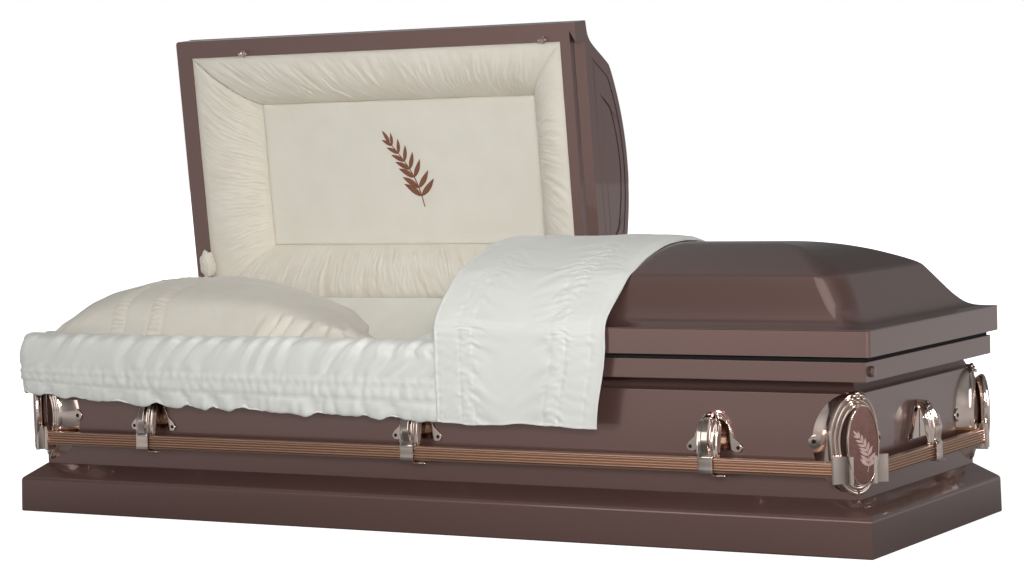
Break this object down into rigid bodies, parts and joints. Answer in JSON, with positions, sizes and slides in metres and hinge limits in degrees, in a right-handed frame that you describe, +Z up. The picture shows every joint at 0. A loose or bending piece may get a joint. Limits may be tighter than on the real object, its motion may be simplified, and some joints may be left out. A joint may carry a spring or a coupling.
{
  "type": "casket",
  "caption": "Half-couch steel casket with a hinged head lid standing open, hinged foot lid, bar handles, oval corner medallions and padded cloth interior.",
  "frame": {"origin": "centre of the underside", "axes": "+X towards the foot end, -Y towards the front, +Z up"},
  "size_m": [2.114, 0.9044, 1.0885],
  "materials": {
    "painted_steel": "metallic satin-gloss enamel",
    "gasket_rubber": "matte",
    "bar_metal": "copper-brown plate, ribbed",
    "medallion_metal": "satin enamel",
    "plated_metal": "bright plate",
    "hinge_steel": "plain",
    "white_cloth": "shirred crepe",
    "cream_cloth": "crepe"
  },
  "bodies": {
    "shell": {"base_front": "painted_steel", "base_foot": "painted_steel", "base_back": "painted_steel", "base_head": "painted_steel", "body_front": "painted_steel", "body_foot": "painted_steel", "body_back": "painted_steel", "body_head": "painted_steel", "bottom_panel": "painted_steel", "gasket": "gasket_rubber", "lining_front": "cream_cloth", "lining_foot": "cream_cloth", "lining_back": "cream_cloth", "lining_head": "cream_cloth", "mattress": "cream_cloth", "pillow": "cream_cloth", "extendover_front": "white_cloth", "extendover_head": "white_cloth", "hinge_drape": "cream_cloth", "hinge_body_head": "hinge_steel", "hinge_body_foot": "hinge_steel", "bar_front": "bar_metal", "bar_foot": "bar_metal", "bar_back": "bar_metal", "bar_head": "bar_metal", "lug_front_1": "plated_metal", "lug_front_2": "plated_metal", "lug_front_3": "plated_metal", "lug_back_1": "plated_metal", "lug_back_2": "plated_metal", "lug_back_3": "plated_metal", "lug_foot_1": "plated_metal", "lug_head_1": "plated_metal", "corner_lug_front_foot": "plated_metal", "corner_lug_back_foot": "plated_metal", "corner_lug_back_head": "plated_metal", "corner_lug_front_head": "plated_metal", "corner_tip_front_foot": "plated_metal", "corner_tip_back_foot": "plated_metal", "corner_tip_back_head": "plated_metal", "corner_tip_front_head": "plated_metal", "medallion_front_foot": "medallion_metal", "medallion_back_foot": "medallion_metal", "medallion_back_head": "medallion_metal", "medallion_front_head": "medallion_metal", "rail_cap": "plated_metal"},
    "head_cover": {"head_lid": "painted_steel", "lid_border": "cream_cloth", "cap_panel": "cream_cloth", "latch_stud_1": "plated_metal", "latch_stud_2": "plated_metal", "lid_tie": "cream_cloth", "hinge_lid_head": "hinge_steel"},
    "foot_cover": {"foot_lid": "painted_steel", "foot_lid_lining": "cream_cloth", "throw": "white_cloth", "hinge_lid_foot": "hinge_steel"}
  },
  "joints": [
    {"name": "head_lid_hinge", "type": "hinge", "parent": "shell", "child": "head_cover", "pos_m": [0, 0.354, 0.38], "axis": [-1, 0, 0], "range_deg": [-84.3, 0], "deforming": ["extendover_front", "extendover_head", "pillow", "hinge_drape", "lid_tie"]},
    {"name": "foot_lid_hinge", "type": "hinge", "parent": "shell", "child": "foot_cover", "pos_m": [0, 0.354, 0.38], "axis": [-1, 0, 0], "range_deg": [0, 84.3]}
  ]
}
